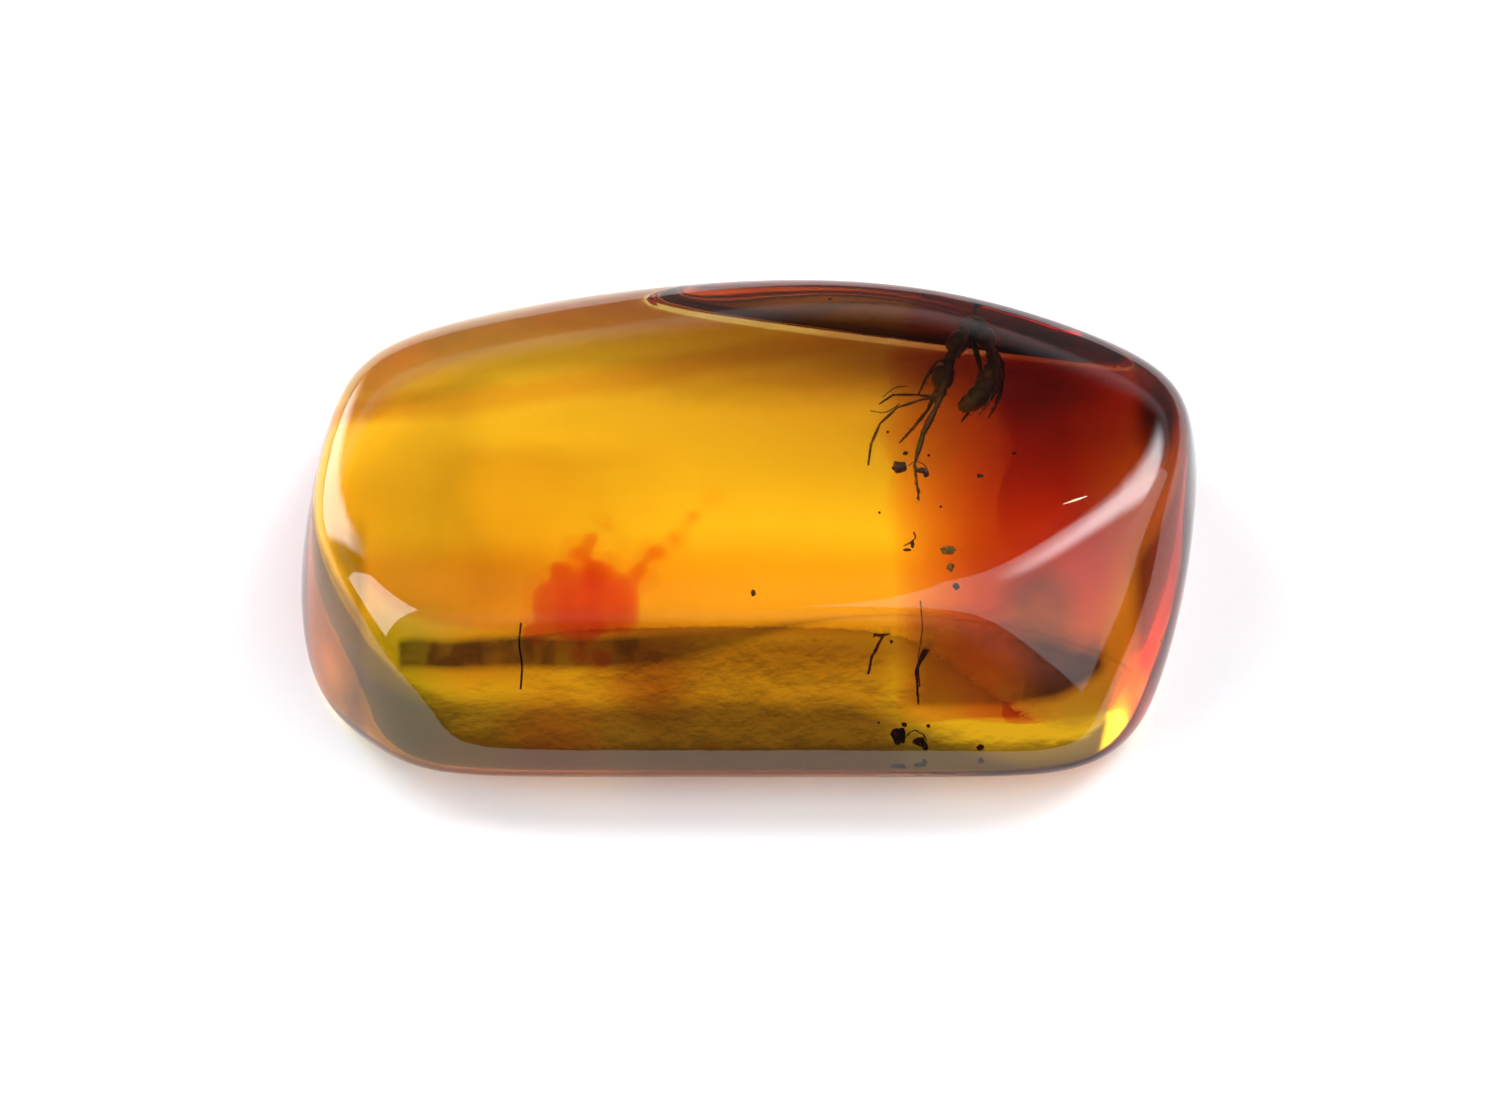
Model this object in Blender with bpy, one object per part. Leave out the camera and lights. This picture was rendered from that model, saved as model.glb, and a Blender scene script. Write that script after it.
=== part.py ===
"""Insect in amber: a polished bar of clear fossil resin with a small insect sealed inside it.

The bar is one natural piece. It is parted here in a lower and an upper solid, because the insect
lies in a closed pocket between them. Lengths below are in millimetres and angles in degrees; the
finished meshes are in metres, +Z up, with the origin at the middle of the bar's footprint.
"""

import math

import bmesh
import bpy
from mathutils import Matrix, Vector

METRES_PER_MM = 0.001
OBJECT_NAME = "insect_in_amber"

# Polished facets of the bar, seen from its middle: compass angle (0 is +X, 90 is +Y), angle above
# the horizontal, and distance from the middle to the facet.
FACETS = {
    "top": (90, 79.5, 2.4),
    "bottom": (0, -90, 2.0),
    "front_slope": (-90, 31, 3.95),
    "front_undercut": (-90, -58, 3.24),
    "back_slope": (99, 38, 5.53),
    "back_undercut": (81, -25, 5.75),
    "right_end": (-2, 8, 9.16),
    "right_undercut": (-10, -35, 8.21),
    "left_end": (168.4, 8, 8.92),
    "left_undercut": (172, -35, 8.74),
    "back_right_corner": (62.3, 20, 7.5),
    "back_left_corner": (116.8, 20, 7.73),
    "front_right_corner": (-37, 17, 8.08),
    "front_left_corner": (-144, 8, 8.24),
    "front_right_shoulder": (-41.9, 56.5, 5.17),
    "front_left_shoulder": (-132.2, 63.1, 5.29),
}
RIDGE_SHARPNESS = 13          # higher keeps flatter facets and crisper ridges between them
BLOCK = (18.0, 10.4, 5.2)     # rough block that the facets are drawn in from
BLOCK_CUTS = (35, 20, 13)     # cuts across the block's length, width and height
REST_DEPTH = 1.7              # the flat rest face lies this far below the middle

PARTING_HEIGHT = 2.2          # level of the insect above the rest face
PARTING_GAP = 0.2
POCKET_CLEARANCE = 0.22       # from the insect's outermost points to the pocket's wall

# The insect lies on its side, bent like an arch: chest at the top of the arch (towards +Y), head
# at the left foot and abdomen at the right. Each lump is a centre, half sizes, and a turn about Z.
BODY_LUMPS = {
    "head": ((3.92, 2.75, 2.23), (0.24, 0.36, 0.23), -8),
    "mouth": ((3.88, 2.34, 2.21), (0.13, 0.16, 0.12), 0),
    "near_eye": ((3.82, 2.92, 2.38), (0.10, 0.13, 0.09), -8),
    "far_eye": ((3.82, 2.92, 2.08), (0.10, 0.13, 0.09), -8),
    "neck": ((4.05, 3.26, 2.22), (0.13, 0.27, 0.12), -22),
    "front_chest": ((4.25, 3.72, 2.21), (0.26, 0.36, 0.23), -25),
    "middle_chest": ((4.54, 4.05, 2.21), (0.33, 0.31, 0.28), 0),
    "rear_chest": ((4.79, 3.80, 2.21), (0.25, 0.34, 0.22), 20),
    "waist": ((4.90, 3.36, 2.20), (0.11, 0.24, 0.11), 0),
}
# Abdomen: a row of overlapping rings on an arc, as (centre, radius) along the body.
ABDOMEN_RINGS = (
    ((4.92, 3.12, 2.20), 0.17),
    ((4.94, 2.86, 2.20), 0.24),
    ((4.90, 2.60, 2.20), 0.26),
    ((4.80, 2.40, 2.20), 0.25),
    ((4.64, 2.22, 2.20), 0.22),
    ((4.46, 2.10, 2.20), 0.16),
    ((4.32, 2.04, 2.20), 0.09),
)
# Legs and feelers: joints from the body outwards, and the limb's radius at each joint.
LIMBS = {
    "near_feeler": (((3.84, 2.27, 2.29), (3.44, 2.12, 2.40), (3.00, 1.92, 2.47), (2.64, 1.50, 2.45),
                     (2.46, 0.99, 2.40), (2.40, 0.46, 2.35)), (0.05, 0.045, 0.04, 0.04, 0.04, 0.03)),
    "far_feeler": (((3.84, 2.27, 2.15), (3.38, 2.38, 2.00), (2.92, 2.41, 1.90), (2.64, 2.19, 1.83)),
                   (0.05, 0.045, 0.04, 0.03)),
    "near_front_leg": (((4.21, 3.64, 2.33), (4.00, 2.60, 2.51), (3.78, 1.90, 2.47), (3.52, 1.28, 2.39),
                        (3.34, 0.49, 2.35), (3.42, -0.44, 2.31)), (0.07, 0.08, 0.07, 0.09, 0.04, 0.03)),
    "far_front_leg": (((4.21, 3.64, 2.09), (3.88, 2.73, 1.87), (3.62, 2.05, 1.81), (3.32, 1.57, 1.83),
                       (3.04, 1.17, 1.87)), (0.07, 0.07, 0.06, 0.05, 0.03)),
    "near_middle_leg": (((4.52, 3.95, 2.41), (4.24, 3.09, 2.65), (3.64, 3.12, 2.59), (3.18, 2.73, 2.51),
                         (2.94, 2.34, 2.47)), (0.07, 0.07, 0.06, 0.05, 0.03)),
    "far_middle_leg": (((4.52, 3.95, 2.03), (4.42, 3.00, 1.79), (4.34, 2.34, 1.75), (4.16, 1.79, 1.79),
                        (3.98, 1.37, 1.83)), (0.07, 0.07, 0.06, 0.05, 0.03)),
    "near_hind_leg": (((4.80, 3.78, 2.39), (5.14, 2.92, 2.55), (5.26, 2.16, 2.47), (5.04, 1.61, 2.41),
                       (4.84, 1.19, 2.37)), (0.07, 0.08, 0.06, 0.05, 0.03)),
    "far_hind_leg": (((4.80, 3.78, 2.05), (5.22, 3.21, 1.89), (5.46, 2.49, 1.85), (5.42, 1.88, 1.89),
                      (5.28, 1.39, 1.93)), (0.07, 0.08, 0.06, 0.05, 0.03)),
}
LUMP_SEGMENTS = 14
LUMP_RINGS = 9
BALL_SEGMENTS = 12
BALL_RINGS = 8


def make_collection(name):
    collection = bpy.data.collections.new(name)
    bpy.context.scene.collection.children.link(collection)
    return collection


def make_material(name, colour, roughness, transmission=0.0, ior=1.5):
    material = bpy.data.materials.new(name)
    material.use_nodes = True
    shader = material.node_tree.nodes["Principled BSDF"]
    shader.inputs["Base Color"].default_value = (*colour, 1.0)
    shader.inputs["Roughness"].default_value = roughness
    shader.inputs["Metallic"].default_value = 0.0
    shader.inputs["Transmission Weight"].default_value = transmission
    shader.inputs["IOR"].default_value = ior
    return material


def object_from_bmesh(name, bm, collection):
    mesh = bpy.data.meshes.new(name)
    bm.to_mesh(mesh)
    bm.free()
    piece = bpy.data.objects.new(name, mesh)
    collection.objects.link(piece)
    return piece


def evaluated_mesh(source):
    bpy.context.view_layer.update()
    graph = bpy.context.evaluated_depsgraph_get()
    return bpy.data.meshes.new_from_object(source.evaluated_get(graph))


def with_boolean(target, tool, operation):
    """Combine the target's mesh with the tool's and keep the result as the target's own mesh."""
    boolean = target.modifiers.new(tool.name, "BOOLEAN")
    boolean.operation = operation
    boolean.solver = "EXACT"
    boolean.object = tool
    combined = evaluated_mesh(target)
    target.modifiers.clear()
    target.data = combined


def facet_normal(compass, rise):
    compass, rise = math.radians(compass), math.radians(rise)
    level = math.cos(rise)
    return Vector((level * math.cos(compass), level * math.sin(compass), math.sin(rise)))


def draw_in(point, facets):
    """Slide a point along its ray from the middle until it lies on the softly faceted surface."""
    ray = point.normalized()
    reach = sum(max(0.0, ray.dot(normal) / distance) ** RIDGE_SHARPNESS for normal, distance in facets)
    return ray * reach ** (-1.0 / RIDGE_SHARPNESS)


def cut_across(bm, axis, cuts):
    """Split the block's edges that run along one axis into equal lengths."""
    length = BLOCK[axis]
    along = [e for e in bm.edges if abs(abs((e.verts[0].co - e.verts[1].co)[axis]) - length) < 0.001]
    bmesh.ops.subdivide_edges(bm, edges=along, cuts=cuts, use_grid_fill=True)


def trim_level(bm, height, keep):
    """Cut the solid on a level plane, keep the part above or below it, and close the cut."""
    cut = bmesh.ops.bisect_plane(
        bm, geom=bm.verts[:] + bm.edges[:] + bm.faces[:], dist=0.0001,
        plane_co=(0, 0, height), plane_no=(0, 0, 1),
        clear_outer=keep == "below", clear_inner=keep == "above")
    rim = [item for item in cut["geom_cut"] if isinstance(item, bmesh.types.BMEdge)]
    bmesh.ops.contextual_create(bm, geom=rim)
    bmesh.ops.recalc_face_normals(bm, faces=bm.faces)


def amber_bar():
    """The whole bar as a bmesh, standing on its rest face, centred over the origin."""
    facets = [(facet_normal(compass, rise), distance) for compass, rise, distance in FACETS.values()]
    bm = bmesh.new()
    bmesh.ops.create_cube(bm, size=1.0, matrix=Matrix.Diagonal((*BLOCK, 1.0)))
    for axis, cuts in enumerate(BLOCK_CUTS):
        cut_across(bm, axis, cuts)
    for vert in bm.verts:
        vert.co = draw_in(vert.co, facets)
    trim_level(bm, -REST_DEPTH, "above")
    lows = [min(vert.co[axis] for vert in bm.verts) for axis in range(2)]
    highs = [max(vert.co[axis] for vert in bm.verts) for axis in range(2)]
    shift = Vector((-(lows[0] + highs[0]) / 2, -(lows[1] + highs[1]) / 2, REST_DEPTH))
    bmesh.ops.translate(bm, verts=bm.verts, vec=shift)
    return bm


def lump(name, centre, half_sizes, turn, segments, rings, collection):
    bm = bmesh.new()
    bmesh.ops.create_uvsphere(bm, u_segments=segments, v_segments=rings, radius=1.0)
    place = Matrix.Translation(centre) @ Matrix.Rotation(math.radians(turn), 4, "Z")
    bm.transform(place @ Matrix.Diagonal((*half_sizes, 1.0)))
    return object_from_bmesh(name, bm, collection)


def limb(name, joints, radii, collection):
    """A tapering jointed tube with closed ends, as a mesh."""
    curve = bpy.data.curves.new(name, "CURVE")
    curve.dimensions = "3D"
    curve.bevel_depth = 1.0
    curve.bevel_resolution = 1
    curve.use_fill_caps = True
    spline = curve.splines.new("POLY")
    spline.points.add(len(joints) - 1)
    for point, joint, radius in zip(spline.points, joints, radii):
        point.co = (*joint, 1.0)
        point.radius = radius
    path = bpy.data.objects.new(name + "_path", curve)
    collection.objects.link(path)
    bm = bmesh.new()
    bm.from_mesh(evaluated_mesh(path))
    bmesh.ops.remove_doubles(bm, verts=bm.verts, dist=0.0001)
    bmesh.ops.recalc_face_normals(bm, faces=bm.faces)
    bpy.data.objects.remove(path)
    return object_from_bmesh(name, bm, collection)


def insect_body(collection):
    """Head, chest, abdomen, legs and feelers, joined into one closed solid."""
    pieces = []
    for name, (centre, half_sizes, turn) in BODY_LUMPS.items():
        pieces.append(lump(name, centre, half_sizes, turn, LUMP_SEGMENTS, LUMP_RINGS, collection))
    for number, (centre, radius) in enumerate(ABDOMEN_RINGS):
        name = f"abdomen_ring_{number}"
        pieces.append(lump(name, centre, (radius,) * 3, 0, BALL_SEGMENTS, BALL_RINGS, collection))
    for name, (joints, radii) in LIMBS.items():
        pieces.append(limb(name, joints, radii, collection))
    body = pieces.pop(0)
    for piece in pieces:
        with_boolean(body, piece, "UNION")
        bpy.data.objects.remove(piece)
    body.name = "insect"
    return body


def pocket_around(insect, collection):
    """The closed space that the insect lies in: its hull, swollen by the clearance."""
    bm = bmesh.new()
    reach = POCKET_CLEARANCE
    for vert in insect.data.vertices:
        for step in (Vector((reach, 0, 0)), Vector((0, reach, 0)), Vector((0, 0, reach))):
            bm.verts.new(vert.co + step)
            bm.verts.new(vert.co - step)
    hull = bmesh.ops.convex_hull(bm, input=bm.verts)
    spare = set(hull["geom_interior"] + hull["geom_unused"])
    bmesh.ops.delete(bm, geom=[v for v in spare if isinstance(v, bmesh.types.BMVert)], context="VERTS")
    bmesh.ops.recalc_face_normals(bm, faces=bm.faces)
    pocket = object_from_bmesh("pocket", bm, collection)
    pocket.hide_render = True
    pocket.display_type = "WIRE"
    return pocket


def amber_half(name, keep, pocket, collection):
    bm = amber_bar()
    side = 1 if keep == "above" else -1
    trim_level(bm, PARTING_HEIGHT + side * PARTING_GAP / 2, keep)
    half = object_from_bmesh(name, bm, collection)
    with_boolean(half, pocket, "DIFFERENCE")
    return half


def finish(piece, material):
    """Bring a finished solid to metres, give it its material, and shade its round faces smooth."""
    piece.data.transform(Matrix.Scale(METRES_PER_MM, 4))
    piece.data.name = piece.name
    piece.data.materials.clear()
    piece.data.materials.append(material)
    piece.data.shade_smooth()
    piece.data.set_sharp_from_angle(angle=math.radians(40))


def build():
    for old in list(bpy.data.objects):
        bpy.data.objects.remove(old)
    parts = make_collection(OBJECT_NAME)
    cutters = make_collection("cutters")
    clear_amber = make_material("clear_amber", (0.95, 0.62, 0.12), 0.03, transmission=1.0, ior=1.54)
    clear_amber_upper = clear_amber.copy()
    clear_amber_upper.name = "clear_amber_upper"
    chitin = make_material("dark_chitin", (0.025, 0.014, 0.009), 0.4)

    insect = insect_body(parts)
    pocket = pocket_around(insect, cutters)
    lower = amber_half("amber_lower", "below", pocket, parts)
    upper = amber_half("amber_upper", "above", pocket, parts)
    finish(insect, chitin)
    finish(lower, clear_amber)
    finish(upper, clear_amber_upper)
    pocket.data.transform(Matrix.Scale(METRES_PER_MM, 4))


build()
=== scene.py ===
"""The looks of a polished amber bar with a small insect sealed inside it.

Places are in millimetres in the bar's own frame: X along the bar towards its red end, Y towards its
back, Z up from the flat it rests on. Each mesh is brought to metres when it is finished.
"""

import math
import random

import bmesh
import bpy
from mathutils import Matrix, Vector, noise
from mathutils.bvhtree import BVHTree


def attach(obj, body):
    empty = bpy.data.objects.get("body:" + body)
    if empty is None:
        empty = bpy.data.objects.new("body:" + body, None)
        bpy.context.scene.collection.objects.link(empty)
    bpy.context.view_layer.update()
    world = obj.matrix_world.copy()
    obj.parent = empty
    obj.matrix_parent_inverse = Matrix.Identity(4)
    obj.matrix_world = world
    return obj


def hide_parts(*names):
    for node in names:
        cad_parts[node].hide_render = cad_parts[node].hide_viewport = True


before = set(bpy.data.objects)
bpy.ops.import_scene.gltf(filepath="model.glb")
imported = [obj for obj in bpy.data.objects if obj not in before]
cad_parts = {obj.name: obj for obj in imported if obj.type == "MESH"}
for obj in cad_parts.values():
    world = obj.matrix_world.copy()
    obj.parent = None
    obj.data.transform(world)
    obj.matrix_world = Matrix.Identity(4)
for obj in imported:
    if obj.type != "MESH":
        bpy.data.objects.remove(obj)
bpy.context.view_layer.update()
scene = bpy.context.scene

# ---------------------------------------------------------------------------------------------
# Camera: a long lens looking down on the bar's front long side, as for a close-up on a table.
# The lens is set so that the picture is 30.4 mm wide at the bar.
# ---------------------------------------------------------------------------------------------
MM = 0.001
CAMERA_RISE = math.radians(57.8)
CAMERA_DISTANCE = 350 * MM
VIEW_WIDTH = 30.364 * MM
VIEW_CENTRE = Vector((0.0074, -0.8985, 2.0467)) * MM

camera_data = bpy.data.cameras.new("close_up")
camera_data.sensor_width = 36.0
camera_data.lens = camera_data.sensor_width * CAMERA_DISTANCE / VIEW_WIDTH
camera_data.clip_start = 0.01
camera = bpy.data.objects.new("close_up", camera_data)
scene.collection.objects.link(camera)
sight = Vector((0.0, math.cos(CAMERA_RISE), -math.sin(CAMERA_RISE)))
camera.location = VIEW_CENTRE - sight * CAMERA_DISTANCE
camera.rotation_euler = sight.to_track_quat("-Z", "Y").to_euler()
scene.camera = camera

# ---------------------------------------------------------------------------------------------
# Studio: a pale table under the bar, a soft box past each end of it, and a dim room above with two
# windows behind the bar.
# ---------------------------------------------------------------------------------------------
SOFT_BOXES = {
    "left_soft_box": {"compass": 201, "rise": 28, "wide": 0.37, "high": 0.37, "watts": 2.3},
    "right_soft_box": {"compass": -10, "rise": 50, "wide": 0.76, "high": 0.80, "watts": 3.0},
}
BOX_DISTANCE = 0.6
TABLE_SIZE = 2.0
TABLE_GAP = 0.02 * MM
# Glow of the room by height above the horizon (as a sine), behind the bar and before it.
ROOM_BEHIND = ((0.00, 0.30), (0.38, 0.30), (0.43, 0.32), (0.455, 0.85), (0.48, 0.85), (0.54, 0.06),
               (0.70, 0.07), (0.85, 0.18))
ROOM_BEFORE = ((0.00, 0.06), (0.30, 0.10), (0.38, 0.25), (0.44, 0.40), (0.60, 0.35), (0.80, 0.18))
SIDE_BLEND = 0.15             # how softly the two sides of the room run into each other
BLUENESS = 1.03               # blue of the room's light against its red and green
# A tall window at the left and a high one at the right. Each edge runs from where the glow starts to
# where it is full: inner by the X of the way to it, outer by Y, sill and head by Z.
WINDOWS = (
    {"glow": 7.6, "inner": (-0.35, -0.50), "outer": (0.22, 0.38), "sill": (0.02, 0.14),
     "head": (0.80, 0.65)},
    {"glow": 10.0, "inner": (0.30, 0.50), "outer": (0.10, 0.30), "sill": (0.50, 0.62),
     "head": (0.90, 0.80)},
)
MOST_BOUNCES = 24
MIRROR_BOUNCES = 16


class Wire:
    """One output of a shader node, which can stand in a Python sum."""

    def __init__(self, board, socket):
        self.board = board
        self.socket = socket

    def sum_with(self, operation, first, second):
        return self.board.node("ShaderNodeMath", {"operation": operation}, {0: first, 1: second})

    def __add__(self, other):
        return self.sum_with("ADD", self, other)

    def __sub__(self, other):
        return self.sum_with("SUBTRACT", self, other)

    def __rsub__(self, other):
        return self.sum_with("SUBTRACT", other, self)

    def __mul__(self, other):
        return self.sum_with("MULTIPLY", self, other)

    __radd__ = __add__
    __rmul__ = __mul__


class Board:
    """A node tree, whose nodes are all made by one method."""

    def __init__(self, tree):
        self.tree = tree

    def node(self, kind, settings, sockets, result=0):
        made = self.tree.nodes.new(kind)
        for key, value in settings.items():
            if key == "stops":
                while len(made.color_ramp.elements) < len(value):
                    made.color_ramp.elements.new(0.5)
                for element, (position, colour) in zip(made.color_ramp.elements, value):
                    element.position = position
                    element.color = (*colour, 1.0)
            else:
                setattr(made, key, value)
        for key, value in sockets.items():
            if isinstance(value, Wire):
                self.tree.links.new(value.socket, made.inputs[key])
            else:
                made.inputs[key].default_value = value
        return Wire(self, made.outputs[result])

    def split(self, vector):
        parts = self.node("ShaderNodeSeparateXYZ", {}, {0: vector}).socket.node.outputs
        return [Wire(self, part) for part in parts]

    def rise(self, value, low, high):
        """0 below low, 1 above high, and a soft slope between; low above high turns it over."""
        return self.node("ShaderNodeMapRange", {"interpolation_type": "SMOOTHSTEP"},
                         {"Value": value, "From Min": low, "From Max": high})

    def blend(self, amount, first, second, how="MIX"):
        return self.node("ShaderNodeMix", {"data_type": "RGBA", "blend_type": how},
                         {0: amount, 6: first, 7: second}, 2)


for name, box in SOFT_BOXES.items():
    lamp_data = bpy.data.lights.new(name, "AREA")
    lamp_data.shape = "RECTANGLE"
    lamp_data.size, lamp_data.size_y = box["wide"], box["high"]
    lamp_data.energy = box["watts"]
    lamp = bpy.data.objects.new(name, lamp_data)
    scene.collection.objects.link(lamp)
    compass, rise = math.radians(box["compass"]), math.radians(box["rise"])
    level = math.cos(rise)
    towards = Vector((level * math.cos(compass), level * math.sin(compass), math.sin(rise)))
    lamp.location = towards * BOX_DISTANCE
    lamp.rotation_euler = (-towards).to_track_quat("-Z", "Y").to_euler()

room = bpy.data.worlds.new("dim_room")
room.use_nodes = True
scene.world = room
sky = Board(room.node_tree)
east, north, height = sky.split(sky.node("ShaderNodeTexCoord", {}, {}, "Generated"))
behind, before = (sky.node("ShaderNodeValToRGB", {"stops": [(at, (level, level, level * BLUENESS))
                                                            for at, level in profile]}, {0: height})
                  for profile in (ROOM_BEHIND, ROOM_BEFORE))
glow = sky.blend(sky.rise(north, -SIDE_BLEND, SIDE_BLEND), before, behind)
for window in WINDOWS:
    opening = (sky.rise(east, *window["inner"]) * sky.rise(north, *window["outer"])
               * sky.rise(height, *window["sill"]) * sky.rise(height, *window["head"]))
    level = window["glow"]
    glow = sky.blend(opening, glow, (level, level, level * BLUENESS, 1.0))
room.node_tree.links.new(glow.socket, room.node_tree.nodes["Background"].inputs["Color"])

scene.view_settings.view_transform = "Standard"
scene.cycles.max_bounces = MOST_BOUNCES
scene.cycles.transmission_bounces = MOST_BOUNCES
scene.cycles.glossy_bounces = MIRROR_BOUNCES
scene.cycles.blur_glossy = 0.0


class Finish(Board):
    """A material: its Principled shader, and the places on the piece in millimetres."""

    def __init__(self, name, **settings):
        self.material = bpy.data.materials.new(name)
        self.material.use_nodes = True
        super().__init__(self.material.node_tree)
        self.shader = self.tree.nodes["Principled BSDF"]
        self.output = self.tree.nodes["Material Output"]
        for socket, value in settings.items():
            self.shader.inputs[socket.replace("_", " ")].default_value = value

    def drive(self, socket, wire):
        self.tree.links.new(wire.socket, self.shader.inputs[socket])

    def places(self):
        metres = self.node("ShaderNodeTexCoord", {}, {}, "Object")
        return self.node("ShaderNodeVectorMath", {"operation": "SCALE"}, {0: metres, "Scale": 1 / MM})

    def grain(self, places, scale, detail=2.0, stretch=(1.0, 1.0, 1.0)):
        """Soft noise from 0 to 1, with scale lumps to a millimetre."""
        spread = self.node("ShaderNodeVectorMath", {"operation": "MULTIPLY"}, {0: places, 1: stretch})
        return self.node("ShaderNodeTexNoise", {},
                         {"Vector": spread, "Scale": scale, "Detail": detail})

    def away(self, value, middle):
        """How far a value is from the middle one."""
        return self.node("ShaderNodeMath", {"operation": "ABSOLUTE"}, {0: value - middle})

    def spot(self, places, centre, radius, core):
        """1 within the core of a round patch, and 0 outside its radius."""
        gap = self.node("ShaderNodeVectorMath", {"operation": "DISTANCE"}, {0: places, 1: centre}, 1)
        return self.rise(gap, radius, core)

    def raise_by(self, height, depth):
        """Bump of the given depth in millimetres."""
        bump = self.node("ShaderNodeBump", {},
                         {"Strength": 1.0, "Distance": depth * MM, "Height": height})
        self.drive("Normal", bump)


TABLE_TONES = (0.89, 0.89, 0.90, 1.0), (0.91, 0.91, 0.91, 1.0)
paper = Finish("pale_table", Base_Color=TABLE_TONES[0], Roughness=0.9)
paper.drive("Base Color", paper.blend(paper.grain(paper.places(), 0.25), *TABLE_TONES))
table_mesh = bpy.data.meshes.new("table")
reach = TABLE_SIZE / 2
table_mesh.from_pydata(
    [(-reach, -reach, -TABLE_GAP), (reach, -reach, -TABLE_GAP),
     (reach, reach, -TABLE_GAP), (-reach, reach, -TABLE_GAP)], [], [(0, 1, 2, 3)])
table_mesh.materials.append(paper.material)
table = bpy.data.objects.new("table", table_mesh)
scene.collection.objects.link(table)

# ---------------------------------------------------------------------------------------------
# The amber: one natural lump of fossil resin, ground to a bar with soft facets and polished all
# over. It is clear, and its gold comes from the length of resin that light passes through; faint
# stains from old resin flows cross it. Painted shade in the surface colour darkens it in part
# towards the back, and low on the front, below the front ridge at the right and along that ridge.
# ---------------------------------------------------------------------------------------------
FACETS = {
    "top": (90, 79.5, 2.4),
    "bottom": (0, -90, 2.0),
    "front_slope": (-90, 31, 3.95),
    "front_undercut": (-90, -58, 3.24),
    "back_slope": (99, 38, 5.53),
    "back_undercut": (81, -25, 5.75),
    "right_end": (-2, 8, 9.16),
    "right_undercut": (-10, -35, 8.21),
    "left_end": (168.4, 8, 8.92),
    "left_undercut": (172, -35, 8.74),
    "back_right_corner": (62.3, 20, 7.5),
    "back_left_corner": (116.8, 20, 7.73),
    "front_right_corner": (-37, 17, 8.08),
    "front_left_corner": (-144, 8, 8.24),
    "front_right_shoulder": (-41.9, 56.5, 5.17),
    "front_left_shoulder": (-132.2, 63.1, 5.29),
}
RIDGE_SHARPNESS = 13
BLOCK = (18.0, 10.4, 5.2)
REST_DEPTH = 1.7
FINE_CUTS = (119, 71, 47)
AMBER_IOR = 1.54
AMBER_CLEARNESS = (0.985, 0.855, 0.03, 1.0)
AMBER_DENSITY = 600.0         # absorption per metre of resin
POLISH_LUMPS = 1.3            # faint waves left by polishing, to a millimetre
POLISH_DEPTH = 0.002
# What each stain, or patch of painted shade, multiplies the resin's surface colour by.
STAINS_AND_PAINTED_SHADE = {
    "back": (0.34, 0.22, 0.30),
    "far_back": (0.42, 0.30, 0.30),
    "wisp": (0.62, 0.36, 0.40),
    "left_veil": (0.66, 0.52, 0.50),
    "front_veil": (0.78, 0.50, 0.50),
    "low_front_shade": (0.16, 0.15, 0.40),
    "red_patch": (0.80, 0.26, 0.30),
    "front_middle": (0.45, 0.30, 0.30),
    "brown_patch": (0.55, 0.25, 0.30),
    "left_end": (0.32, 0.34, 0.30),
    "left_corner": (0.42, 0.80, 0.40),
    "right_corner": (0.12, 0.04, 0.25),
    "right_front_shade": (0.014, 0.010, 0.10),
    "shoulder": (0.26, 0.75, 0.80),
    "ridge_shade_band": (0.030, 0.016, 0.030),
}


def draw_in(point, facets):
    """Slide a point along its ray from the middle until it lies on the softly faceted surface."""
    ray = point.normalized()
    total = sum(max(0.0, ray.dot(normal) / distance) ** RIDGE_SHARPNESS
                for normal, distance in facets)
    return ray * total ** (-1.0 / RIDGE_SHARPNESS)


def polished_bar(cuts, inset=0.0):
    """The bar as a bmesh round its middle, with a flat underneath, each facet inset by a little."""
    facets = []
    for compass, rise, distance in FACETS.values():
        turned = Matrix.Rotation(math.radians(compass), 3, "Z")
        tilted = Matrix.Rotation(-math.radians(rise), 3, "Y")
        facets.append((turned @ tilted @ Vector((1, 0, 0)), distance - inset))
    bm = bmesh.new()
    bmesh.ops.create_cube(bm, size=1.0, matrix=Matrix.Diagonal((*BLOCK, 1.0)))
    for axis, number in enumerate(cuts):
        length = BLOCK[axis]
        along = [edge for edge in bm.edges
                 if abs(abs((edge.verts[0].co - edge.verts[1].co)[axis]) - length) < 0.001]
        bmesh.ops.subdivide_edges(bm, edges=along, cuts=number, use_grid_fill=True)
    for vert in bm.verts:
        vert.co = draw_in(vert.co, facets)
    trim = bmesh.ops.bisect_plane(
        bm, geom=bm.verts[:] + bm.edges[:] + bm.faces[:], dist=0.0001,
        plane_co=(0, 0, inset - REST_DEPTH), plane_no=(0, 0, -1), clear_outer=True)
    rim = [item for item in trim["geom_cut"] if isinstance(item, bmesh.types.BMEdge)]
    flat = bmesh.ops.contextual_create(bm, geom=rim)["faces"]
    bmesh.ops.recalc_face_normals(bm, faces=bm.faces)
    # The flat keeps its own level normal through sharp edges. Every face stays smooth-shaded,
    # because light that goes in by a smooth face and out by a flat-shaded one stays absorbed.
    for face in flat:
        for edge in face.edges:
            edge.smooth = False
    return bm


def finished_piece(name, bm, finish):
    """Bring a millimetre bmesh to metres and make it a smooth piece that rides on the bar."""
    bmesh.ops.scale(bm, vec=(MM, MM, MM), verts=bm.verts)
    for face in bm.faces:
        face.smooth = True
    mesh = bpy.data.meshes.new(name)
    bm.to_mesh(mesh)
    bm.free()
    mesh.materials.append(finish.material)
    piece = bpy.data.objects.new(name, mesh)
    scene.collection.objects.link(piece)
    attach(piece, "root")
    return piece


def absorb(finish, colour, density):
    """Plain absorption inside a clear piece."""
    haze = finish.node("ShaderNodeVolumeAbsorption", {}, {"Color": colour, "Density": density})
    finish.tree.links.new(haze.socket, finish.output.inputs["Volume"])


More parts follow.
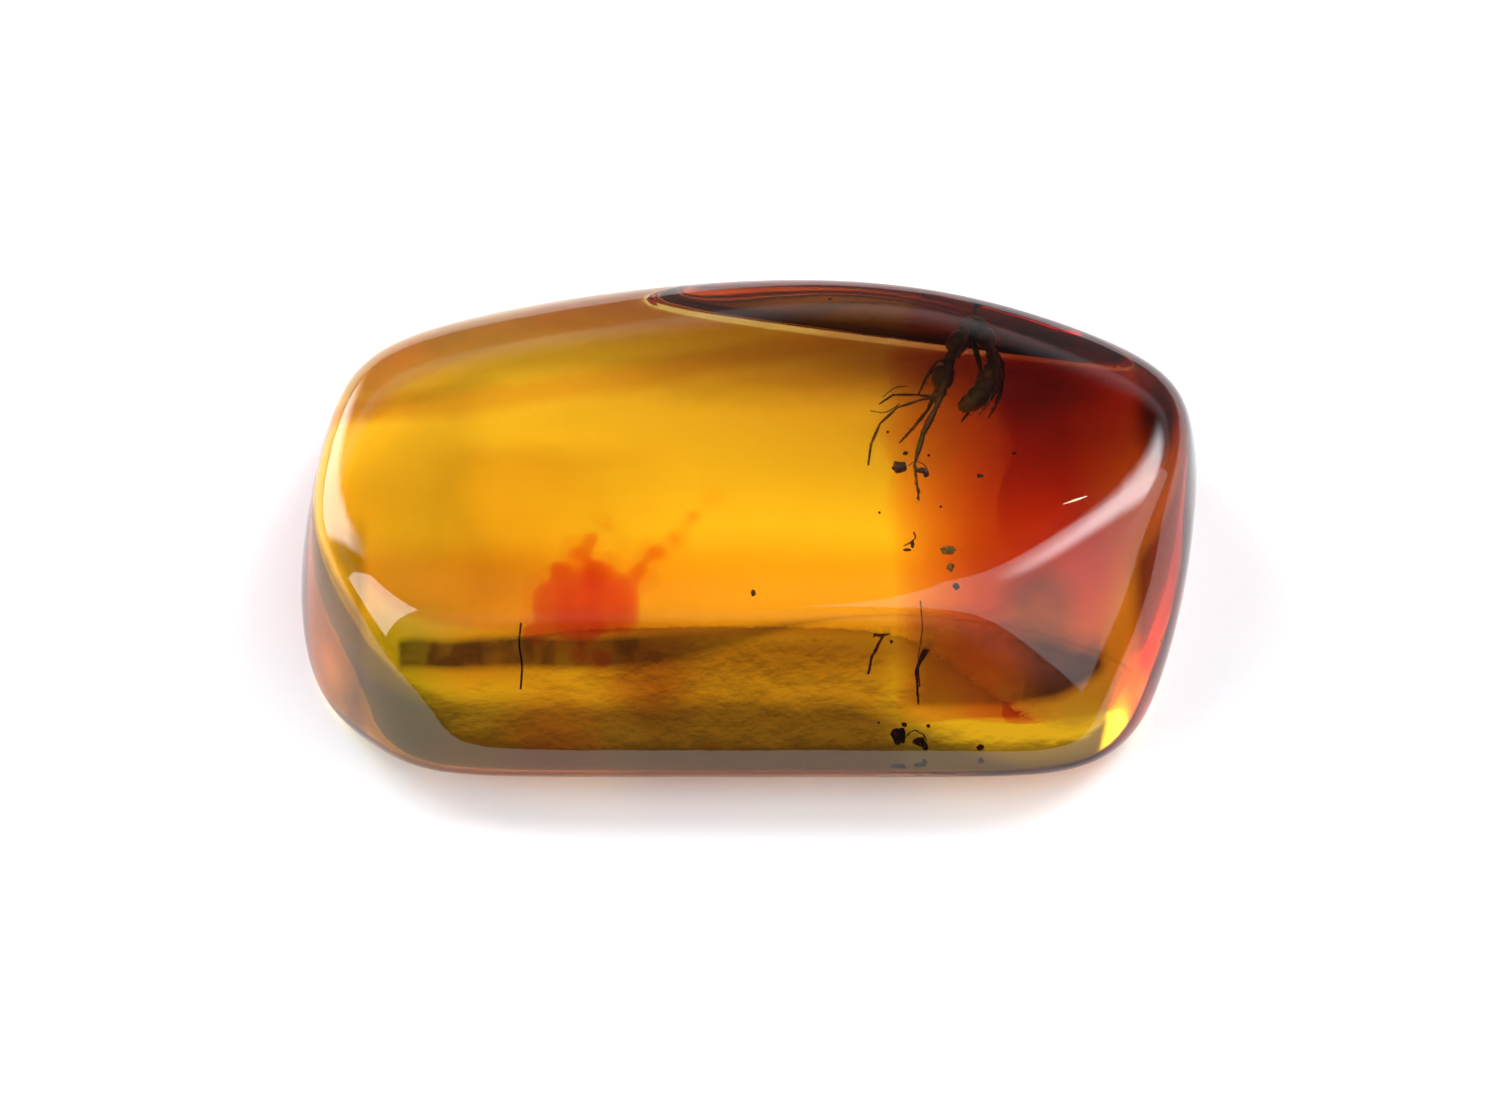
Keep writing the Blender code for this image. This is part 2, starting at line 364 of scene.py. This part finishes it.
bar = polished_bar(FINE_CUTS)
middle = [(min(v.co[axis] for v in bar.verts) + max(v.co[axis] for v in bar.verts)) / 2
          for axis in range(2)]
to_part = Vector((-middle[0], -middle[1], REST_DEPTH))
bmesh.ops.translate(bar, verts=bar.verts, vec=to_part)

resin = Finish("clear_amber", Base_Color=(1.0, 1.0, 1.0, 1.0), Roughness=0.0, IOR=AMBER_IOR,
               Transmission_Weight=1.0)
absorb(resin, AMBER_CLEARNESS, AMBER_DENSITY)
resin_places = resin.places()
along, across, up = resin.split(resin_places)
waver = resin.grain(resin_places, 0.6, 3.0, (0.6, 1.0, 1.0)) - 0.5
tint = (1.0, 1.0, 1.0, 1.0)


def stain_or_shade(tint, name, amount):
    """The tint with one more stain or patch of painted shade over it, by amount from place to place."""
    return resin.blend(amount, tint, (*STAINS_AND_PAINTED_SHADE[name], 1.0), "MULTIPLY")


# Browner resin towards the back of the top, stronger to the right: partly a brown stain, partly painted
# shade for the dimmer light under the back of the bar.
rightward = resin.rise(along, -5.0, 0.5)
top_back_stain_and_shade = (resin.rise(across + waver * 1.0 + rightward * 0.8, 2.0, 3.2) * resin.rise(up, 1.5, 2.5)
            * (0.35 + rightward * 0.55))
tint = stain_or_shade(tint, "back", top_back_stain_and_shade)
right_back_stain_and_shade = (resin.rise(along + waver, 0.3, 3.2) * resin.rise(across, 1.8, 3.1)
              * resin.rise(up, 1.5, 2.5))
tint = stain_or_shade(tint, "far_back", right_back_stain_and_shade)
# A faint brown wisp that crosses the top lengthwise.
wisp_line = resin.away(across + waver * 0.5 - resin.rise(along, -8.0, 5.0) * 2.2, 1.55)
wisp = resin.rise(wisp_line, 0.6, 0.1) * resin.rise(up, 2.0, 2.6) * resin.rise(along, 4.5, 1.0)
tint = stain_or_shade(tint, "wisp", wisp * 0.8)
# A duller veil over the left of the top, and a faint one along its front.
left_veil = (resin.rise(along + waver * 2.0, -1.0, -4.4) * resin.rise(along, -6.8, -5.2)
             * resin.rise(across - waver, 0.9, 0.0) * resin.rise(up, 2.6, 3.2))
tint = stain_or_shade(tint, "left_veil", left_veil)
front_veil = resin.rise(across + waver * 0.8, -1.6, -2.9) * resin.rise(up, 3.9, 4.1)
tint = stain_or_shade(tint, "front_veil", front_veil)
# A greener, duller zone low on the front, painted shade for the dim light seen through the front slope,
# with a reddish patch in it.
front_edge = up + waver * 0.4 + resin.rise(along, 1.5, 6.0) * 1.3
low_front_shade = resin.rise(front_edge, 3.0, 2.45) * resin.rise(across, -3.0, -4.2)
tint = stain_or_shade(tint, "low_front_shade", low_front_shade)
tint = stain_or_shade(tint, "red_patch", resin.spot(resin_places, (-3.9, -5.25, 2.0), 1.7, 0.4) * 0.9)
# Redder resin along the middle of the front, with a brown patch in it.
front_middle = (resin.rise(along, -3.4, -1.8) * resin.rise(along, 3.6, 2.4)
                * resin.rise(across, -3.9, -4.3))
tint = stain_or_shade(tint, "front_middle", front_middle)
tint = stain_or_shade(tint, "brown_patch", resin.spot(resin_places, (-2.1, -4.6, 3.1), 1.7, 0.3))
# A dull left end, and greener resin in the front left corner.
left_end = resin.rise(along + waver * 0.2, -7.62, -7.9) * resin.rise(across, -1.0, -2.2)
tint = stain_or_shade(tint, "left_end", left_end)
left_corner = resin.rise(along, -5.6, -6.9) * resin.rise(across, -3.0, -4.0)
tint = stain_or_shade(tint, "left_corner", left_corner)
# Redder resin round the front right corner.
right_corner = (resin.rise(along, 7.55, 7.95) * resin.rise(across, -3.9, -3.4)
                * resin.rise(up, 3.6, 3.2))
tint = stain_or_shade(tint, "right_corner", right_corner)
# Painted shade below the front ridge at the right, dull and reddish over the red end, and a dark patch
# behind the shoulder there.
right_front_shade = (resin.rise(up + waver * 0.25, 2.42, 2.68) * resin.rise(across + waver * 0.6, -3.35, -3.95)
        * resin.rise(along + waver * 0.5, 2.8, 3.6) * resin.rise(along, 7.35, 7.0)
        * (0.78 + resin.rise(along, 4.5, 6.0) * 0.22))
tint = stain_or_shade(tint, "right_front_shade", right_front_shade)
tint = stain_or_shade(tint, "shoulder", resin.spot(resin_places, (6.0, -3.4, 4.05), 1.3, 0.5))
# Dark band of painted shade along the front ridge, faintly speckled, square at its left end and drawn
# out to the right.
band_middle = resin.rise(along, -2.5, 3.2) * 0.5 + resin.rise(along, -5.8, -7.2) * 0.14 - 4.24
band_away = resin.away(across + waver * 0.12, band_middle) + resin.rise(along, -2.6, 2.4) * 0.2
band_speckle = resin.grain(resin_places, 1.6, 3.0, (1.0, 0.5, 0.5))
ridge_shade_band = (resin.rise(band_away, 0.27, 0.12) * resin.rise(along, -7.12, -6.98)
        * (0.91 + resin.rise(band_speckle, 0.42, 0.60) * 0.09)
        * (1 - resin.rise(along, -2.7, -0.6) * 0.22))
tint = stain_or_shade(tint, "ridge_shade_band", ridge_shade_band)
resin.drive("Base Color", tint)
resin.raise_by(resin.grain(resin_places, POLISH_LUMPS, 3.0), POLISH_DEPTH)
amber = finished_piece("amber", bar, resin)
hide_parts("amber_lower", "amber_upper")

# ---------------------------------------------------------------------------------------------
# The red end: resin of a later flow, deep red, that fills the bar's right end. It starts thin
# under the middle and thickens to a steep wall near the end.
# ---------------------------------------------------------------------------------------------
RED_HEART = Vector((7.2, 0.4, 1.9))
RED_CLEARNESS = (0.77, 0.20, 0.20, 1.0)
RED_DENSITY = 850.0
FLOW_INSET = 0.08             # gap between the flow and the bar's polished skin
SKIN_CUTS = (59, 35, 23)
DIRECTION_CUTS = 44
SIDEWAYS_SPREAD = 1.6
WALL_SHARPNESS = 14.0
LEFT_FOOT, LEFT_SLOPE, LEFT_TOP = 2.4, 1.5, 5.1
FRONT_FOOT, FRONT_SLOPE, FRONT_TURN = -3.1, 0.885, 0.8
END_START = 6.2               # where the front turns back and the floor starts to climb
FLOOR_SLOPE = 1.2


def flow_finish(name, colour, density):
    """Resin of another colour inside the bar: the same glass, with more absorption."""
    finish = Finish(name, Base_Color=(1.0, 1.0, 1.0, 1.0), Roughness=0.0, IOR=1.0,
                    Transmission_Weight=1.0)
    absorb(finish, colour, density)
    return finish


def left_wall(point):
    """How far a point lies inside the flow's left side, which slopes below and then stands."""
    ripple = noise.noise(Vector((0.0, point.y, point.z)) * 0.7) * 0.45
    return point.x + ripple - min(LEFT_FOOT + LEFT_SLOPE * point.z, LEFT_TOP)


def front_wall(point):
    """How far it lies inside the flow's front, which leans back as it rises."""
    ripple = noise.noise(Vector((point.x, 3.0, point.z)) * 0.6) * 0.35
    turn = FRONT_TURN * max(0.0, point.x - END_START)
    return point.y + ripple - (FRONT_FOOT + FRONT_SLOPE * point.z + turn)


def floor_wall(point):
    """How far it lies above the flow's underside, which climbs towards the bar's end."""
    ripple = noise.noise(Vector((point.x, point.y, 9.0)) * 0.5) * 0.40
    return point.z + ripple - FLOOR_SLOPE * (point.x - END_START)


def distance_inside(start, ray, depth, furthest=16.0):
    """Distance along a ray to the place where depth becomes negative."""
    step, gone = 0.2, 0.0
    while gone < furthest and depth(start + ray * (gone + step)) > 0.0:
        gone += step
    low, high = gone, gone + step
    for _ in range(12):
        half = (low + high) / 2
        if depth(start + ray * half) > 0.0:
            low = half
        else:
            high = half
    return low


skin = polished_bar(SKIN_CUTS, FLOW_INSET)
bmesh.ops.translate(skin, verts=skin.verts, vec=to_part)
skin_tree = BVHTree.FromBMesh(skin)
skin.free()
red = bmesh.new()
bmesh.ops.create_cube(red, size=2.0)
bmesh.ops.subdivide_edges(red, edges=red.edges[:], cuts=DIRECTION_CUTS, use_grid_fill=True)
for vert in red.verts:
    ray = Vector((vert.co.x, vert.co.y * SIDEWAYS_SPREAD, vert.co.z)).normalized()
    limits = [distance_inside(RED_HEART, ray, wall) for wall in (left_wall, front_wall, floor_wall)]
    limits.append(skin_tree.ray_cast(RED_HEART, ray)[3])
    nearness = sum(limit ** -WALL_SHARPNESS for limit in limits)
    vert.co = RED_HEART + ray * nearness ** (-1.0 / WALL_SHARPNESS)
finished_piece("red_end", red, flow_finish("red_resin", RED_CLEARNESS, RED_DENSITY))

# ---------------------------------------------------------------------------------------------
# Orange cloud: a small burst of reddish resin under the front ridge, left of the middle, with two
# arms that reach up and back. A thinner haze of the same resin surrounds it.
# ---------------------------------------------------------------------------------------------
CLOUD_LOBES = (
    ((-3.10, -2.80, 3.35), 0.50), ((-3.62, -2.95, 3.30), 0.46), ((-2.60, -2.90, 3.40), 0.36),
    ((-4.02, -3.00, 3.25), 0.34), ((-4.30, -3.35, 3.20), 0.26), ((-3.20, -3.35, 3.40), 0.34),
    ((-3.72, -2.55, 3.45), 0.30), ((-3.45, -2.15, 3.45), 0.27), ((-3.18, -1.75, 3.45), 0.22),
    ((-2.92, -1.38, 3.45), 0.15), ((-2.20, -2.50, 3.35), 0.24), ((-1.88, -2.08, 3.30), 0.20),
    ((-1.50, -1.62, 3.30), 0.19), ((-1.12, -1.15, 3.30), 0.17), ((-0.78, -0.68, 3.30), 0.12),
    ((-3.00, -3.75, 3.00), 0.26), ((-3.40, -3.75, 3.00), 0.20),
)
CLOUD_SKINS = {
    "cloud": {"resin": "cloud_resin", "colour": (0.88, 0.18, 0.02, 1.0), "density": 1700.0,
              "swell": 1.0, "ragged": 0.16, "seed": 3.0, "voxel": 0.04},
    "cloud_haze": {"resin": "haze_resin", "colour": (0.95, 0.62, 0.10, 1.0), "density": 900.0,
                   "swell": 1.35, "ragged": 0.30, "seed": 8.0, "voxel": 0.05},
}


def fused(lumps_bm, voxel, relax=2):
    """Closed lumps run together into one skin."""
    mesh = bpy.data.meshes.new("lumps")
    lumps_bm.to_mesh(mesh)
    lumps_bm.free()
    holder = bpy.data.objects.new("lumps", mesh)
    scene.collection.objects.link(holder)
    remesh = holder.modifiers.new("skin", "REMESH")
    remesh.mode = "VOXEL"
    remesh.voxel_size = voxel
    bpy.context.view_layer.update()
    skinned = holder.evaluated_get(bpy.context.evaluated_depsgraph_get()).to_mesh()
    bm = bmesh.new()
    bm.from_mesh(skinned)
    bpy.data.objects.remove(holder)
    for _ in range(relax):
        bmesh.ops.smooth_vert(bm, verts=bm.verts, factor=0.5, use_axis_x=True, use_axis_y=True,
                              use_axis_z=True)
    return bm


def wispy_lobes(lobes, swell, ragged, seed):
    """Lobes at their places, each pushed in and out by noise."""
    bm = bmesh.new()
    for centre, radius in lobes:
        made = bmesh.ops.create_icosphere(bm, subdivisions=4, radius=radius * swell)["verts"]
        for vert in made:
            place = vert.co + Vector(centre)
            push = noise.fractal(place * 1.8 + Vector((seed, 0, 0)), 1.0, 2.0, 4)
            vert.co = place + vert.co.normalized() * push * ragged
    return bm


for name, skin in CLOUD_SKINS.items():
    lobes = wispy_lobes(CLOUD_LOBES, skin["swell"], skin["ragged"], skin["seed"])
    finish = flow_finish(skin["resin"], skin["colour"], skin["density"])
    finished_piece(name, fused(lobes, skin["voxel"]), finish)

# ---------------------------------------------------------------------------------------------
# The insect: a small wingless, ant-like insect with a dark shell, caught on its side and bent
# into an arch, with its head at the arch's left foot and its abdomen at the right.
# ---------------------------------------------------------------------------------------------
BODY_LUMPS = {
    "head": ((3.92, 2.75, 2.23), (0.23, 0.34, 0.21), -8),
    "cheeks": ((3.94, 2.90, 2.23), (0.235, 0.20, 0.225), -8),
    "mouth": ((3.88, 2.38, 2.21), (0.13, 0.14, 0.11), 0),
    "near_eye": ((3.82, 2.88, 2.40), (0.09, 0.12, 0.07), -8),
    "far_eye": ((3.82, 2.88, 2.06), (0.09, 0.12, 0.07), -8),
    "neck": ((4.05, 3.26, 2.22), (0.10, 0.27, 0.10), -22),
    "front_chest": ((4.25, 3.70, 2.21), (0.24, 0.34, 0.22), -25),
    "middle_chest": ((4.54, 4.05, 2.21), (0.31, 0.29, 0.26), 0),
    "rear_chest": ((4.79, 3.78, 2.21), (0.22, 0.32, 0.20), 20),
    "waist_front": ((4.88, 3.48, 2.20), (0.08, 0.16, 0.08), 0),
    "waist_knot": ((4.91, 3.33, 2.20), (0.12, 0.10, 0.13), 0),
    "waist_back": ((4.91, 3.20, 2.20), (0.08, 0.14, 0.08), 0),
}
ABDOMEN_PATH = (
    ((4.92, 3.14, 2.20), 0.10), ((4.92, 3.02, 2.20), 0.18), ((4.91, 2.86, 2.20), 0.24),
    ((4.85, 2.60, 2.20), 0.265), ((4.74, 2.39, 2.20), 0.265), ((4.58, 2.20, 2.20), 0.25),
    ((4.42, 2.07, 2.20), 0.21), ((4.30, 1.99, 2.20), 0.14), ((4.23, 1.95, 2.20), 0.03),
)
ABDOMEN_PLATES = 6
LEGS = {
    "near_front_leg": (((4.21, 3.64, 2.33), (4.00, 2.60, 2.51), (3.78, 1.90, 2.47), (3.52, 1.28, 2.39),
                        (3.34, 0.49, 2.35), (3.42, -0.44, 2.31)), (0.07, 0.08, 0.07, 0.08, 0.04, 0.025)),
    "far_front_leg": (((4.21, 3.64, 2.09), (3.88, 2.73, 1.87), (3.62, 2.05, 1.81), (3.32, 1.57, 1.83),
                       (3.04, 1.17, 1.87)), (0.07, 0.07, 0.05, 0.04, 0.025)),
    "near_middle_leg": (((4.52, 3.95, 2.41), (4.24, 3.20, 2.65), (3.80, 3.06, 2.60), (3.56, 2.62, 2.53),
                         (3.42, 2.22, 2.48)), (0.07, 0.065, 0.05, 0.04, 0.025)),
    "far_middle_leg": (((4.52, 3.95, 2.03), (4.70, 3.05, 1.79), (4.62, 2.40, 1.78), (4.45, 2.00, 1.80),
                        (4.30, 1.72, 1.84)), (0.07, 0.065, 0.05, 0.04, 0.025)),
    "near_hind_leg": (((4.80, 3.78, 2.39), (5.06, 3.00, 2.55), (5.02, 2.40, 2.50), (4.84, 2.05, 2.44),
                       (4.66, 1.74, 2.40)), (0.07, 0.07, 0.05, 0.04, 0.025)),
    "far_hind_leg": (((4.80, 3.78, 2.05), (5.14, 3.21, 1.89), (5.12, 2.55, 1.86), (4.98, 2.10, 1.89),
                      (4.84, 1.78, 1.93)), (0.07, 0.07, 0.05, 0.04, 0.025)),
}
FEELERS = {
    "near_feeler": (((3.84, 2.27, 2.29), (3.44, 2.12, 2.40), (3.00, 1.92, 2.47), (2.64, 1.50, 2.45),
                     (2.46, 0.99, 2.40), (2.40, 0.46, 2.35)), (0.045, 0.04, 0.035, 0.035, 0.035, 0.028)),
    "far_feeler": (((3.84, 2.27, 2.15), (3.38, 2.38, 2.00), (2.92, 2.41, 1.90), (2.64, 2.19, 1.83)),
                   (0.045, 0.035, 0.035, 0.028)),
}
JAWS = {
    "near_jaw": (((3.88, 2.33, 2.27), (3.80, 2.20, 2.31), (3.80, 2.08, 2.28), (3.85, 2.02, 2.23)),
                 (0.06, 0.055, 0.04, 0.02)),
    "far_jaw": (((3.88, 2.33, 2.15), (3.80, 2.20, 2.11), (3.81, 2.08, 2.14), (3.86, 2.01, 2.19)),
                (0.06, 0.055, 0.04, 0.02)),
}
SHELL_VOXEL = 0.018
LIMB_STEPS = 24               # rings along each segment of a leg or feeler
LEG_BEADS = 5
FEELER_BEADS = 6


def tube(bm, centres, girths, sides=14):
    """A closed round tube through the centres, with a girth (radius) at each."""
    rings = []
    sideways = None
    for index, centre in enumerate(centres):
        before = centres[max(index - 1, 0)]
        after = centres[min(index + 1, len(centres) - 1)]
        forward = (after - before).normalized()
        if sideways is None:
            sideways = forward.orthogonal()
        sideways = (sideways - forward * sideways.dot(forward)).normalized()
        upward = forward.cross(sideways)
        ring = []
        for side in range(sides):
            turn = 2 * math.pi * side / sides
            spoke = sideways * math.cos(turn) + upward * math.sin(turn)
            ring.append(bm.verts.new(centre + spoke * girths[index]))
        rings.append(ring)
    for first, second in zip(rings, rings[1:]):
        for side in range(sides):
            after = (side + 1) % sides
            bm.faces.new((first[side], first[after], second[after], second[side]))
    bm.faces.new(list(reversed(rings[0])))
    bm.faces.new(rings[-1])


def joint_ball(bm, centre, radius):
    bmesh.ops.create_icosphere(bm, subdivisions=2, radius=radius, matrix=Matrix.Translation(centre))


def jointed_limb(bm, joints, radii, beads):
    """Spindle-shaped segments with a small knuckle between them; the last one is beaded."""
    joints = [Vector(joint) for joint in joints]
    last = len(joints) - 2
    for index in range(last + 1):
        start, end = joints[index], joints[index + 1]
        thick, thin = radii[index], radii[index + 1]
        centres, girths = [], []
        for step in range(LIMB_STEPS + 1):
            part = step / LIMB_STEPS
            swell = 0.68 + 0.32 * math.sin(math.pi * part)
            if index == last:
                swell = 0.70 + 0.30 * abs(math.sin(math.pi * beads * part))
            centres.append(start.lerp(end, part))
            girths.append((thick + (thin - thick) * part) * swell)
        tube(bm, centres, girths)
        joint_ball(bm, end, thin * 0.85)


def smooth_path(path, steps):
    """Catmull-Rom curve through (centre, girth) rows."""
    rows = [Vector((*centre, girth)) for centre, girth in path]
    rows = [rows[0]] + rows + [rows[-1]]
    curve = []
    for a, b, c, d in zip(rows, rows[1:], rows[2:], rows[3:]):
        for step in range(steps):
            t = step / steps
            curve.append(0.5 * (2 * b + (c - a) * t + (2 * a - 5 * b + 4 * c - d) * t * t
                                + (3 * b - a - 3 * c + d) * t ** 3))
    curve.append(rows[-1])
    return [row.xyz for row in curve], [row.w for row in curve]


body = bmesh.new()
for centre, half_sizes, turn in BODY_LUMPS.values():
    place = Matrix.Translation(centre) @ Matrix.Rotation(math.radians(turn), 4, "Z")
    bmesh.ops.create_uvsphere(body, u_segments=32, v_segments=20, radius=1.0,
                              matrix=place @ Matrix.Diagonal((*half_sizes, 1.0)))
belly_centres, belly_girths = smooth_path(ABDOMEN_PATH, 14)
for index in range(len(belly_girths)):
    plate = (index / (len(belly_girths) - 1) * ABDOMEN_PLATES) % 1.0
    belly_girths[index] *= 0.90 + 0.12 * math.sin(math.pi * min(1.0, plate * 1.08) ** 0.6)
tube(body, belly_centres, belly_girths, 32)
for joints, radii in LEGS.values():
    jointed_limb(body, joints, radii, LEG_BEADS)
for joints, radii in FEELERS.values():
    jointed_limb(body, joints, radii, FEELER_BEADS)
for joints, radii in JAWS.values():
    centres, girths = smooth_path(tuple(zip(joints, radii)), 8)
    tube(body, centres, girths)
body = fused(body, SHELL_VOXEL, 1)

SHELL_TONES = ((0.35, (0.006, 0.004, 0.003)), (0.55, (0.022, 0.010, 0.006)),
               (0.75, (0.070, 0.026, 0.010)))
SHELL_ROUGHNESS = (0.32, 0.25)
shell = Finish("dark_shell", Base_Color=(0.02, 0.011, 0.007, 1.0), Roughness=0.42, IOR=1.56)
shell_places = shell.places()
mottle = shell.grain(shell_places, 6.0, 4.0)
shell.drive("Base Color", shell.node("ShaderNodeValToRGB", {"stops": SHELL_TONES}, {0: mottle}))
shell.drive("Roughness", SHELL_ROUGHNESS[0] + mottle * SHELL_ROUGHNESS[1])
pits = shell.node("ShaderNodeTexVoronoi", {}, {"Vector": shell_places, "Scale": 45.0})
shell.raise_by(pits + shell.grain(shell_places, 25.0, 3.0) * 0.6, 0.004)
insect = finished_piece("insect_body", body, shell)
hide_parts("insect")

# ---------------------------------------------------------------------------------------------
# Bristles: fine stiff hairs of the same dark shell, which stand out all over the insect and lean
# back.
# ---------------------------------------------------------------------------------------------
BRISTLES = 260
BRISTLE_LENGTH = (0.05, 0.12)
BRISTLE_GIRTH = 0.005
BRISTLE_SEED = 7
rng = random.Random(BRISTLE_SEED)
bristles = bmesh.new()
faces = insect.data.polygons
for _ in range(BRISTLES):
    face = faces[rng.randrange(len(faces))]
    root = face.center / MM
    lean = Vector((rng.uniform(-0.5, 0.5), rng.uniform(-0.9, 0.1), rng.uniform(-0.5, 0.5)))
    tip_way = (face.normal + lean * 0.7).normalized()
    length = rng.uniform(*BRISTLE_LENGTH)
    curl = face.normal.orthogonal() * length * 0.15
    centres = [root - face.normal * 0.01, root + tip_way * length * 0.5 + curl, root + tip_way * length]
    tube(bristles, centres, (BRISTLE_GIRTH, BRISTLE_GIRTH * 0.7, BRISTLE_GIRTH * 0.2), 5)
finished_piece("insect_bristles", bristles, shell)

# ---------------------------------------------------------------------------------------------
# Debris: grains of dirt and plant dust, and a few fine fibres, caught in the resin around the
# insect and under the front ridge.
# ---------------------------------------------------------------------------------------------
GRAINS = (
    ((3.03, 0.00, 3.80), 0.145, (1.0, 0.95, 1.0)), ((3.45, -0.10, 3.86), 0.09, (1.2, 0.8, 1.0)),
    ((3.56, -0.20, 3.86), 0.06, (1.0, 1.3, 0.8)), ((4.65, -0.24, 3.86), 0.055, (1.2, 0.8, 1.0)),
    ((3.15, 0.34, 3.86), 0.05, (1.0, 1.0, 1.0)), ((3.27, -2.01, 3.98), 0.06, (0.6, 1.7, 0.8)),
    ((3.17, -2.16, 3.98), 0.045, (1.8, 0.7, 0.8)), ((4.10, -2.78, 3.55), 0.06, (1.1, 0.9, 1.0)),
    ((0.07, -3.05, 3.75), 0.045, (1.0, 1.0, 1.0)), ((3.62, 0.29, 3.86), 0.03, (1.0, 1.0, 1.0)),
    ((2.80, 1.30, 2.40), 0.03, (1.0, 1.0, 1.0)), ((5.35, 0.70, 2.60), 0.035, (1.4, 0.8, 1.0)),
    ((2.62, -0.80, 2.50), 0.028, (1.0, 1.0, 1.0)), ((3.85, -1.03, 3.86), 0.03, (1.0, 1.0, 1.0)),
)
PALE_GRAINS = (
    ((3.98, -2.13, 3.92), 0.12, (1.2, 0.8, 1.0)), ((4.02, -2.55, 3.98), 0.07, (1.0, 1.3, 0.7)),
)
FIBRES = (
    (((-4.58, -3.50, 3.70), (-4.62, -3.78, 3.35), (-4.57, -4.02, 2.98), (-4.60, -4.32, 2.55)), 0.020),
    (((3.41, -3.30, 4.05), (3.45, -3.62, 3.60), (3.38, -3.95, 3.10), (3.42, -4.30, 2.60)), 0.013),
    (((3.20, 0.02, 3.82), (3.35, 0.14, 3.82), (3.52, 0.05, 3.82), (3.60, -0.13, 3.82)), 0.014),
    (((3.33, -0.41, 3.84), (3.42, -0.61, 3.84), (3.37, -0.83, 3.84)), 0.014),
    (((3.10, -2.06, 3.98), (3.22, -1.98, 3.98), (3.33, -1.86, 3.98), (3.30, -1.71, 3.98)), 0.016),
    (((2.70, 2.10, 2.75), (2.95, 2.35, 2.72), (3.20, 2.40, 2.70)), 0.012),
    (((2.45, 1.75, 2.75), (2.75, 1.72, 2.72), (3.05, 1.95, 2.70)), 0.012),
)
DIRT_TONES = ((0.3, (0.008, 0.005, 0.003)), (0.6, (0.045, 0.022, 0.010)), (0.8, (0.11, 0.06, 0.025)))
MOULD_TONES = ((0.3, (0.10, 0.10, 0.03)), (0.7, (0.24, 0.22, 0.07)))
PIT_LUMPS = 30.0
PIT_DEPTH = 0.006


def grain_lumps(rows, seed):
    """Rough grains: spheres squashed and pushed in and out by noise."""
    bm = bmesh.new()
    for centre, radius, squash in rows:
        made = bmesh.ops.create_icosphere(bm, subdivisions=4, radius=radius)["verts"]
        for vert in made:
            push = noise.fractal(vert.co / radius * 1.3 + Vector(centre) * seed, 1.0, 2.0, 4) * 0.35
            vert.co = Vector(centre) + Vector([c * s for c, s in zip(vert.co, squash)]) * (1 + push)
    return bm


def rough_finish(name, middle_tone, tones, lumps, roughness):
    """A matt, pitted material whose tones run with lumps to a millimetre."""
    finish = Finish(name, Base_Color=(*middle_tone, 1.0), Roughness=roughness)
    places = finish.places()
    finish.drive("Base Color", finish.node("ShaderNodeValToRGB", {"stops": tones},
                                           {0: finish.grain(places, lumps, 4.0)}))
    finish.raise_by(finish.grain(places, PIT_LUMPS, 4.0), PIT_DEPTH)
    return finish


dirt = rough_finish("dark_dirt", (0.03, 0.016, 0.008), DIRT_TONES, 9.0, 0.8)
finished_piece("grains", grain_lumps(GRAINS, 5.0), dirt)
mould = rough_finish("green_mould", (0.16, 0.17, 0.05), MOULD_TONES, 12.0, 0.9)
finished_piece("pale_grains", grain_lumps(PALE_GRAINS, 9.0), mould)

fibre_mesh = bmesh.new()
for points, girth in FIBRES:
    centres, girths = smooth_path([(point, girth) for point in points], 8)
    girths = [g * (1.0 + 0.3 * noise.noise(c * 6.0)) for c, g in zip(centres, girths)]
    tube(fibre_mesh, centres, girths, 8)
finished_piece("fibres", fibre_mesh, dirt)

# ---------------------------------------------------------------------------------------------
# Glint: a tiny straight crack just under the polish over the red end, whose walls are painted pale as a
# painted glint, standing in for the light the crack catches.
# ---------------------------------------------------------------------------------------------
CRACK_PATH = (
    ((6.31, -1.01, 4.100), 0.005), ((6.43, -0.955, 4.085), 0.014), ((6.55, -0.90, 4.070), 0.024),
    ((6.68, -0.84, 4.060), 0.016), ((6.80, -0.78, 4.045), 0.005),
)
CRACK_GLINT_TONES = (0.95, 0.60, 0.32, 1.0), (0.95, 0.86, 0.70, 1.0)
crack_painted_glint = Finish("crack_painted_glint", Base_Color=CRACK_GLINT_TONES[0], Roughness=0.5)
crack_grain = crack_painted_glint.grain(crack_painted_glint.places(), 6.0)
crack_painted_glint.drive("Base Color", crack_painted_glint.blend(crack_grain, *CRACK_GLINT_TONES))
crack = bmesh.new()
crack_centres, crack_girths = smooth_path(CRACK_PATH, 8)
tube(crack, crack_centres, crack_girths, 10)
finished_piece("crack", crack, crack_painted_glint)
